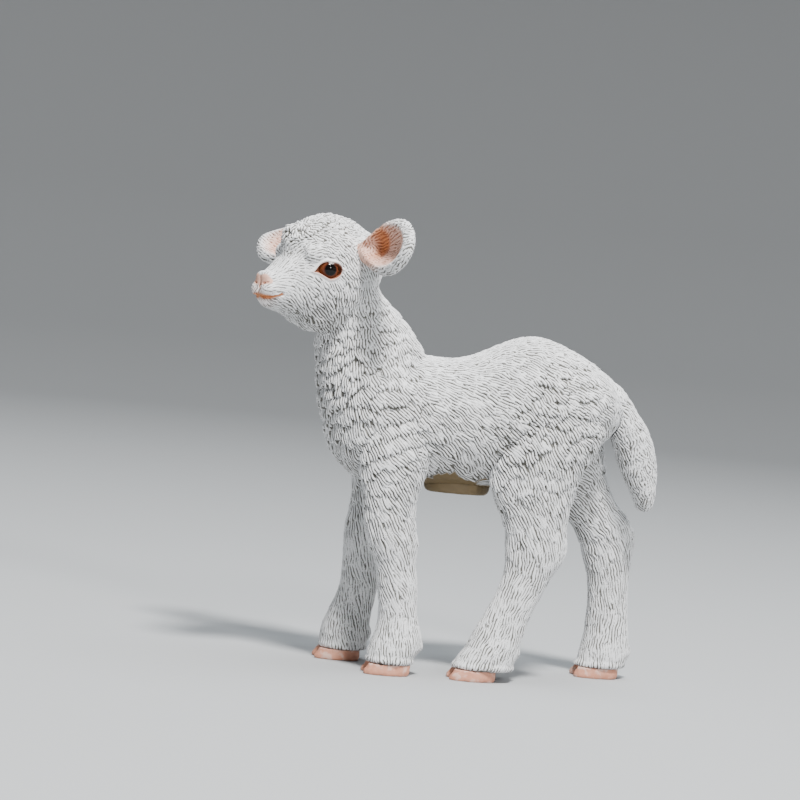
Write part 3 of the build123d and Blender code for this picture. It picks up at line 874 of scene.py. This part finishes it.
def spread(places, ways, lengths, widths):
    """Marks places by chance so that none lies too near another, along its lock or across it."""
    pairs = []
    for one, other in near_pairs(places, places, lengths.max() * 0.62):
        apart = places[other] - places[one]
        along = (apart * ways[one]).sum(axis=1)
        rest = (apart ** 2).sum(axis=1) - along ** 2
        close = (along / (room_along * lengths[one])) ** 2 + rest / (room_across * widths[one]) ** 2 < 1
        close &= one != other
        pairs.append(np.stack([one[close], other[close]]))
    pairs = np.concatenate(pairs, axis=1)
    pairs = np.concatenate([pairs, pairs[::-1]], axis=1)
    turn = chance.permutation(len(places))
    waiting = np.ones(len(places), bool)
    kept = np.zeros(len(places), bool)
    while waiting.any():
        soonest = turn.copy()
        np.minimum.at(soonest, pairs[0], turn[pairs[1]])
        chosen = waiting & (soonest == turn)
        kept |= chosen
        waiting &= ~chosen
        waiting[pairs[1][chosen[pairs[0]]]] = False
        pairs = pairs[:, waiting[pairs[0]] & waiting[pairs[1]]]
    return kept


def flat_way(ways, ways_out):
    """The ways turned into the surface."""
    return unit(ways - ways_out * (ways * ways_out).sum(axis=1, keepdims=True))


try_ways = flat_way(coat_way[tries], normals[tries])
kept = spread(smooth_points[tries], try_ways, coat_length[tries], coat_width[tries])
lock_vertex = tries[kept]
print(len(lock_vertex), "locks")

# %% Their shapes
lock_place = smooth_points[lock_vertex]
lock_normal = normals[lock_vertex]
lock_way = flat_way(coat_way[lock_vertex], lock_normal)
lock_across = np.cross(lock_normal, lock_way)
lock_wave = coat_wave[lock_vertex]
swing = lock_wave * (0.50 * noise(lock_place, 9.0, 1) + 0.30 * noise(lock_place, 3.5, 2))
swing += lock_wave * chance.normal(0, 0.22, len(lock_place))
turned = np.cos(swing)[:, None], np.sin(swing)[:, None]
lock_way, lock_across = (
    lock_way * turned[0] + lock_across * turned[1],
    lock_across * turned[0] - lock_way * turned[1],
)
lock_length = coat_length[lock_vertex] * chance.uniform(0.90, 1.20, len(lock_place))
lock_width = coat_width[lock_vertex] * chance.uniform(0.85, 1.20, len(lock_place))
lock_height = coat_height[lock_vertex] * chance.uniform(0.75, 1.25, len(lock_place))
lock_curl = lock_wave * chance.normal(0, 0.22, len(lock_place))
lock_comb = chance.uniform(0, 1, len(lock_place))

# On the neck, the chest and the thighs the tips end in wavering rows
row_gap = 4.6
tip = lock_place + lock_way * (lock_length * 0.45)[:, None]
level = tip[:, 2] + 0.22 * np.abs(tip[:, 0]) + 4.2 * noise(tip, 11.0, 5)
slip = (level - np.round(level / row_gap) * row_gap) / (-lock_way[:, 2]).clip(0.5)
lock_place = lock_place + lock_way * (slip * coat_rows[lock_vertex] * 0.65)[:, None]

# %% The strands of a lock
comb_pitch = 0.92
comb_strength = 1.6
tip_raggedness = 0.42
strand_wave = 0.30 * noise(smooth_points, 2.4, 7) + 0.16 * noise(smooth_points, 1.2, 8)


def chance_of(first, second):
    """An even number from 0 to 1 that stays the same for the same two numbers."""
    value = np.sin(first * 12.9898 + second * 78.233) * 43758.5453
    return value - np.floor(value)


def lock_heights(lock, vertex):
    """How high these locks stand at these vertices, and how far up a strand each vertex lies."""
    apart = smooth_points[vertex] - lock_place[lock]
    along = (apart * lock_way[lock]).sum(axis=1) / lock_length[lock] + 0.5
    across = (apart * lock_across[lock]).sum(axis=1)
    across += lock_curl[lock] * lock_width[lock] * (2 * along - 1) ** 2 + strand_wave[vertex]
    side = np.abs(across) / (lock_width[lock] * (0.46 + 0.10 * along))
    same_face = (normals[vertex] * lock_normal[lock]).sum(axis=1) > 0.3
    seen = (along > 0) & (along < 1.08) & (side < 1) & same_face
    lock, vertex, along, across, side = (values[seen] for values in (lock, vertex, along, across, side))
    turn = across / comb_pitch * (1.08 - 0.14 * along) + lock_comb[lock]
    number = np.floor(turn)
    own = chance_of(lock, number)
    strand = np.sin(np.pi * (turn - number))
    end = 1.08 - 0.16 * side ** 2.5 - tip_raggedness * own - 0.10 * (1 - strand)
    run = along / end
    rise = ease(run, -0.1, 0.80) * (1 - ease(run, 0.90, 1.0))
    height = lock_height[lock] * rise * (0.75 + 0.35 * chance_of(number, lock + 0.5))
    height *= 1 - 0.25 * side ** 3
    comb = coat_comb[lock_vertex[lock]] * comb_strength
    height += comb * (strand ** 0.8 - 0.75) * ease(run, 0.0, 0.18) * (1 - ease(run, 0.95, 1.0))
    return lock, vertex, height, strand


def stamped():
    """Keeps, for each vertex, the highest lock over it."""
    height = np.full(len(smooth_points), -1.0)
    strand = np.zeros(len(smooth_points))
    groups = np.digitize(lock_length, (3.2, 4.8, 6.5))
    for group in np.unique(groups):
        members = np.flatnonzero(groups == group)
        reach = lock_length[members].max() * 0.60
        for lock, vertex in near_pairs(lock_place[members], smooth_points, reach):
            lock, vertex, found, mark = lock_heights(members[lock], vertex)
            np.maximum.at(height, vertex, found)
            wins = found >= height[vertex]
            strand[vertex[wins]] = mark[wins]
    return height, strand


wool_height, wool_strand = stamped()
uncombed = wool_height < -0.9
wool_height[uncombed] = 0
wool_strand[uncombed] = 0.8
missed = float((uncombed & ~hairless).mean())
print("wool up to", round(wool_height.max(), 2), "mm, missing on a share of", round(missed, 3))

# %% The carved coat
belly_bare = belly & uncombed
bald = np.maximum(marks["bare"], ((point_owner >= len(skinned)) | belly_bare) * 1.0)
on_plug = owned_by("belly_plug")
# The bare strip under the belly and the plug get the dark brown of painted shade and reflected ground
# colour
paint_on("underside_shade", softened(belly_bare | on_plug, edges, 1))
coat_sink = 0.48
swell = 0.30 * noise(smooth_points, 6.0, 3) + 0.12 * noise(smooth_points, 2.6, 4)
lift = wool_height + swell * np.clip(coat_height, 0.2, 0.8) - coat_sink * coat_height

points += normals * (lift * (1 - bald))[:, None]
points += up * (on_plug * 1.0)[:, None]

# At the hooves the coat stands out a little and ends in tips
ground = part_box("front_left_hoof")[1].z / mm
cuff_height = 2.8
cuff_depth = 0.55
cuff = leg_owned * ease(ground + cuff_height - smooth_points[:, 2], 0.0, 1.8)
points[:, :2] += normals[:, :2] * (cuff_depth * cuff)[:, None]
ragged = ground - 0.3 - 0.9 * wool_strand + 0.7 * noise(smooth_points, 1.6, 6)
points[:, 2] = np.maximum(points[:, 2], ragged)

hairy_lift = lift * (1 - bald)
narrow = softened(hairy_lift, edges, 5) - hairy_lift
wide = softened(hairy_lift, edges, 26) - hairy_lift
between_strands = ease(0.97 - wool_strand, 0.0, 0.58) * (1 - bald)
# Grey between the strands and in the hollows is the grey wash together with painted shade
groove = 0.45 * ease(narrow, -0.03, 0.10) + between_strands * (0.72 + 0.20 * noise(smooth_points, 9.0, 13))
# The shelves under the lock tips get a painted shadow, and wool that faces down gets painted shade under
# the jaw, the belly and the legs
groove += 0.45 * ease(wide, -0.02, 0.45) + 0.28 * (1 - bald) * ease(-normals[:, 2], 0.10, 0.80)
paint_on("groove", np.clip(groove, 0, 1))
move_points(skin.data, points)
for name, values in (("narrow", narrow), ("wide", wide), ("groove", marks["groove"])):
    print(name, [round(float(q), 3) for q in np.quantile(values, (0.1, 0.5, 0.9))])

# %% [markdown]
# ## Back to separate pieces
# The coat is carved on one skin, so it runs over the joints. Now the skin is cut into the castings that
# it covers, so that each piece of the lamb stays a piece. Each cut edge gets a cap inside, which keeps
# every piece a closed body, and the shading of the whole skin, so that no line shows.

# %% Caps for the cut edges
def capped(corners, sizes, places):
    """The middles and the triangles of a fan inside each open edge of these faces."""
    after = np.roll(corners, -1)
    ends = np.cumsum(sizes) - 1
    after[ends] = corners[ends - sizes + 1]
    ways = corners * len(places) + after
    open_ways = ~np.isin(ways, after * len(places) + corners)
    open_edges = list(zip(corners[open_ways].tolist(), after[open_ways].tolist()))
    links = {}
    for a, b in open_edges:
        links.setdefault(a, []).append(b)
        links.setdefault(b, []).append(a)
    new_places, new_faces, seen = [], [], set()
    for start in sorted(links):
        if start in seen:
            continue
        ring, waiting = set(), [start]
        while waiting:
            at = waiting.pop()
            if at not in ring:
                ring.add(at)
                waiting += links[at]
        seen |= ring
        new_faces += [(b, a, len(places) + len(new_places)) for a, b in open_edges if a in ring]
        new_places.append(places[sorted(ring)].mean(axis=0))
    return new_places, new_faces


# %% One piece of the skin
skin_normals = normals_of(skin.data)
corner_first = read(skin.data.polygons, "loop_start", 1, np.int32)


def piece_of(name, chosen, second_side=None):
    """A new object from the chosen faces of the skin."""
    picked = np.flatnonzero(chosen)
    sizes = face_size[picked]
    offset = np.arange(sizes.sum()) - np.repeat(np.cumsum(sizes) - sizes, sizes)
    corners = corner_vertex[np.repeat(corner_first[picked], sizes) + offset]
    used, corners = np.unique(corners, return_inverse=True)
    places = points[used]
    new_places, new_faces = capped(corners, sizes, places)
    count = len(new_places)
    all_places = np.vstack([places, np.array(new_places).reshape(-1, 3)])
    all_corners = np.concatenate([corners, np.array(new_faces, np.int64).reshape(-1)])
    all_sizes = np.concatenate([sizes, np.full(len(new_faces), 3)])
    mesh = bpy.data.meshes.new(name)
    mesh.vertices.add(len(all_places))
    mesh.loops.add(len(all_corners))
    mesh.polygons.add(len(all_sizes))
    mesh.vertices.foreach_set("co", (all_places * mm).astype(np.float32).ravel())
    mesh.polygons.foreach_set("loop_start", (np.cumsum(all_sizes) - all_sizes).astype(np.int32))
    mesh.loops.foreach_set("vertex_index", all_corners.astype(np.int32))
    shade_smooth(mesh)
    mesh.update(calc_edges=True)
    mesh.validate()
    nothing, cap_ways = np.zeros(count), np.tile(up, (count, 1))
    for mark in painted:
        mark_points(mesh, mark, np.concatenate([marks[mark][used], nothing]))
    if second_side is not None:
        second_side = np.concatenate([second_side[used], nothing])
    flat_map(mesh, np.vstack([normals[used], cap_ways]), all_places, second_side)
    shading = np.vstack([skin_normals[used], cap_ways])
    mesh.normals_split_custom_set_from_vertices(shading.tolist())
    mesh.materials.append(paint)
    return placed(name, mesh)


# %% A flat map for each piece
def flat_map(mesh, ways, places, second_side=None):
    """A flat map of the piece: six views of it side by side, or twelve where it is a cup."""
    corners = read(mesh.loops, "vertex_index", 1, np.int32)
    sizes = read(mesh.polygons, "loop_total", 1, np.int32)
    first = np.cumsum(sizes) - sizes
    face_way = np.add.reduceat(ways[corners], first)
    axis = np.abs(face_way).argmax(axis=1)
    view = axis * 2 + (face_way[np.arange(len(axis)), axis] > 0)
    if second_side is not None:
        view = view + 6 * (np.add.reduceat(second_side[corners], first) / sizes > 0.5)
    columns, rows = (3, 2) if second_side is None else (4, 3)
    corner_view = np.repeat(view, sizes)
    flat = np.zeros((len(corners), 2), np.float32)
    for chart in range(columns * rows):
        mine = corner_view == chart
        if not mine.any():
            continue
        kept_axes = [i for i in range(3) if i != (chart % 6) // 2]
        spot = places[corners[mine]][:, kept_axes]
        spot = spot - spot.min(axis=0)
        scale = min(0.96 / columns / spot[:, 0].max(), 0.96 / rows / spot[:, 1].max())
        start = np.array([chart % columns / columns, chart // columns / rows]) + 0.01 / columns
        flat[mine] = start + spot * scale
    mesh.uv_layers.new(name="OFBake").uv.foreach_set("vector", flat.ravel())


# %% Cutting the skin
in_hollow = ease(marks["blush"], 0.2, 0.3)
for i, node in enumerate(skinned):
    piece = piece_of(f"carved_{node}", face_owner == i, in_hollow if "ear" in node else None)
    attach(piece, "root")
    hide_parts(node)
    print(piece.name, len(piece.data.polygons), "faces")
bpy.data.objects.remove(skin)

# %% [markdown]
# ## Eyes
# Each eye is a ball of resin with a black pupil and a red-brown iris under a drop of clear gloss. A
# sphere of rings round the way that the eye looks makes the iris an even circle, and one value on its
# vertices, the turn away from the middle, paints the pupil, the iris and its warmer edge.

# %% Eye paint
def eye_paint():
    recipe = Recipe("eye_gloss")
    turn = recipe.carved("from_pupil")
    streak = recipe.speckle(1500.0)
    iris = recipe.blend(streak, (0.07, 0.016, 0.008), (0.20, 0.06, 0.025))
    lit = recipe.blend(recipe.between(turn, 32.0, 46.0), (0.04, 0.010, 0.006), iris)
    edge = recipe.blend(recipe.between(turn, 48.0, 62.0), lit, (0.19, 0.06, 0.02))
    pupil = recipe.blend(recipe.between(turn, 31.0, 35.0), (0.004, 0.003, 0.003), edge)
    return recipe.finish(
        Base_Color=pupil,
        Roughness=0.1,
        Specular_IOR_Level=0.05,
        Coat_Weight=0.35,
        Coat_Roughness=0.02,
    )


gloss = eye_paint()
print("gloss", len(gloss.node_tree.nodes), "nodes")


# %% Eyeballs
def ring_faces(first, rings, around):
    """The squares between rings of points. The first ring starts at this number."""
    faces = []
    for low in range(first, first + (rings - 1) * around, around):
        high = low + around
        after = [(i + 1) % around for i in range(around)]
        faces += [(low + i, high + i, high + j, low + j) for i, j in enumerate(after)]
    return faces


def ball(name, rings=48, around=96):
    """A ball of rings round the way that the eye looks, a little fuller over the iris."""
    middle, out, ahead, above = eye_frames[name]
    gaze = unit(out + 0.06 * ahead)
    side = unit(np.cross(above, gaze))
    top = np.cross(gaze, side)
    turns = np.linspace(0, np.pi, rings)
    rounds = np.linspace(0, 2 * np.pi, around, endpoint=False)
    radius = eye_radius * (0.985 + 0.015 * np.cos(turns))
    places = [middle + gaze * radius[0]]
    for turn, far in zip(turns[1:-1], radius[1:-1]):
        ring = np.cos(rounds)[:, None] * side + np.sin(rounds)[:, None] * top
        places += list(middle + far * (np.cos(turn) * gaze + np.sin(turn) * ring))
    places.append(middle - gaze * radius[-1])
    faces = [(0, 1 + i, 1 + (i + 1) % around) for i in range(around)]
    faces += ring_faces(1, rings - 2, around)
    last = 1 + (rings - 3) * around
    faces += [(len(places) - 1, last + (i + 1) % around, last + i) for i in range(around)]
    mesh = bpy.data.meshes.new(f"{name}_eyeball")
    mesh.from_pydata((np.array(places) * mm).tolist(), [], faces)
    shade_smooth(mesh)
    degrees = [[0.0], np.repeat(np.degrees(turns[1:-1]), around), [180.0]]
    mark_points(mesh, "from_pupil", np.concatenate(degrees))
    mesh.materials.append(gloss)
    return placed(f"{name}_eyeball", mesh)


for name in sides:
    piece = ball(name)
    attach(piece, "root")
    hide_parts(f"{name}_eye")
    print(piece.name, len(piece.data.polygons), "faces")

# %% [markdown]
# ## Hooves and plug
# The hooves are painted flesh pink by hand, with white from the leg on their upper edge and painted shade
# in the cleft. The plug under the belly is painted dark brown, as painted shade and the reflected colour of
# the ground. Both are plain castings, so a fine remesh with a little smoothing rounds their edges, and soft
# noise makes them look cut by hand.

# %% Hoof and plug finishes
def hoof_paint(top):
    recipe = Recipe("hoof_paint")
    place = recipe.node("ShaderNodeTexCoord", output=3)
    level = recipe.node("ShaderNodeSeparateXYZ", {}, {0: place}, output=2)
    mottle = recipe.speckle(700.0)
    groove = recipe.carved("groove")
    patch = recipe.between(recipe.speckle(330.0), 0.52, 0.66)
    pink = recipe.blend(mottle, (0.52, 0.20, 0.125), (0.68, 0.35, 0.24))
    pink = recipe.blend(patch * 0.55, pink, (0.74, 0.58, 0.51))
    # Painted shade: the cleft and other hollows of the hoof turn dark brown
    pink = recipe.blend(recipe.between(groove, 0.45, 1.0), pink, (0.26, 0.11, 0.07))
    rubbed = recipe.between(level + (mottle - 0.5) * (2.6 * mm), top - 0.5 * mm, top)
    coat = recipe.blend(rubbed * 0.25, pink, (0.80, 0.74, 0.70))
    return recipe.finish(
        Base_Color=coat,
        Roughness=0.42 + mottle * 0.2,
        Normal=recipe.bump(recipe.speckle(2600.0), 0.05 * mm, 0.4),
    )


# The plug's dark brown is painted shade and the reflected colour of the ground
def underside_paint():
    recipe = Recipe("bare_resin")
    mottle = recipe.speckle(300.0)
    coat = recipe.blend(mottle, *underside_shade_colours)
    return recipe.finish(
        Base_Color=coat,
        Roughness=0.5 + mottle * 0.2,
        Normal=recipe.bump(recipe.speckle(1400.0), 0.06 * mm, 0.4),
    )


def steel():
    recipe = Recipe("drawn_steel")
    streak = recipe.speckle(2400.0)
    coat = recipe.blend(streak, (0.42, 0.43, 0.44), (0.60, 0.61, 0.62))
    return recipe.finish(Base_Color=coat, Metallic=1.0, Roughness=0.28 + streak * 0.2)


# %% Hooves and plug
def rounded(node, name, fineness, swells, finish):
    """A finely remeshed copy of a casting with soft edges and a slightly uneven surface."""
    piece = copy_of([node], name)
    modified(piece, "REMESH", mode="VOXEL", voxel_size=fineness * mm)
    places, joins = points_of(piece.data), edges_of(piece.data)
    places = evened(smoothed(places, joins, 3), joins, 3)
    ways = soft_normals(piece.data, joins, 2)
    places += ways * (swells * noise(places, 2.2, 9) + 0.5 * swells * noise(places, 0.9, 10))[:, None]
    low, high = (corner.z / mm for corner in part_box(node))
    places[:, 2] = np.clip(places[:, 2], low, high)
    # How deep each point lies in a hollow, kept for the painted shade in the hoof cleft
    depth = ((smoothed(places, joins, 14) - places) * ways).sum(axis=1)
    move_points(piece.data, places)
    mark_points(piece.data, "groove", ease(depth, -0.05, 0.30))
    shade_smooth(piece.data)
    piece.data.materials.clear()
    piece.data.materials.append(finish)
    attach(piece, "root")
    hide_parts(node)
    print(piece.name, len(piece.data.polygons), "faces")


hoof_finish = hoof_paint(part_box("front_left_hoof")[1].z)
for leg in legs:
    rounded(f"{leg}_hoof", f"cloven_{leg}_hoof", 0.28, 0.14, hoof_finish)
rounded("belly_plug", "resin_plug", 0.4, 0.08, underside_paint())

steel_finish = steel()
for node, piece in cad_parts.items():
    if "wire" in node or "dowel" in node or "pin" in node:
        piece.data.materials.clear()
        piece.data.materials.append(steel_finish)

# %% [markdown]
# ## Studio
# The lamb stands in a wide pale bowl, flat in the middle and rising far away on all sides, so that the
# ground is plain from every side. A lamp on the left makes the soft shadow, a wide one overhead gives
# the light of a cloudy sky, and a weak one in front lights the face.

# %% Floor
def bowl():
    rings = [(0.5, 0.0), (1.5, 0.0), (1.9, 0.05), (2.3, 0.2), (2.7, 0.55), (2.9, 1.0), (3.0, 1.8)]
    around = 72
    turns = [2 * math.pi * i / around for i in range(around)]
    places = [(radius * math.cos(a), radius * math.sin(a), rise) for radius, rise in rings for a in turns]
    data = bpy.data.meshes.new("floor")
    data.from_pydata(places, [], [tuple(range(around))] + ring_faces(0, len(rings), around))
    shade_smooth(data)
    recipe = Recipe("pale_floor")
    data.materials.append(recipe.finish(Base_Color=(0.43, 0.44, 0.45), Roughness=0.9))
    return placed("floor", data)


floor = bowl()


# %% Lamps
def lamp(name, place, size, power, tint=(1.0, 1.0, 1.0)):
    light = bpy.data.lights.new(name, "AREA")
    light.shape = "DISK"
    light.size = size
    light.energy = power
    light.color = tint
    holder = placed(name, light)
    holder.location = place
    holder.rotation_mode = "QUATERNION"
    aim = Vector((0, 0, 0.08)) - holder.location
    holder.rotation_quaternion = aim.to_track_quat("-Z", "Y")


lamp("window", (0.10, -0.75, 1.45), 0.26, 50.0, (1.0, 0.99, 0.97))
lamp("sky", (0.2, 0.1, 1.5), 1.1, 19.0, (0.90, 0.96, 1.0))
lamp("front", (0.35, -1.15, 0.65), 0.22, 7.0)
world = bpy.data.worlds.new("studio")
bpy.context.scene.world = world
world.use_nodes = True
world.node_tree.nodes["Background"].inputs["Color"].default_value = (0.92, 0.96, 1.0, 1.0)
world.node_tree.nodes["Background"].inputs["Strength"].default_value = 0.11
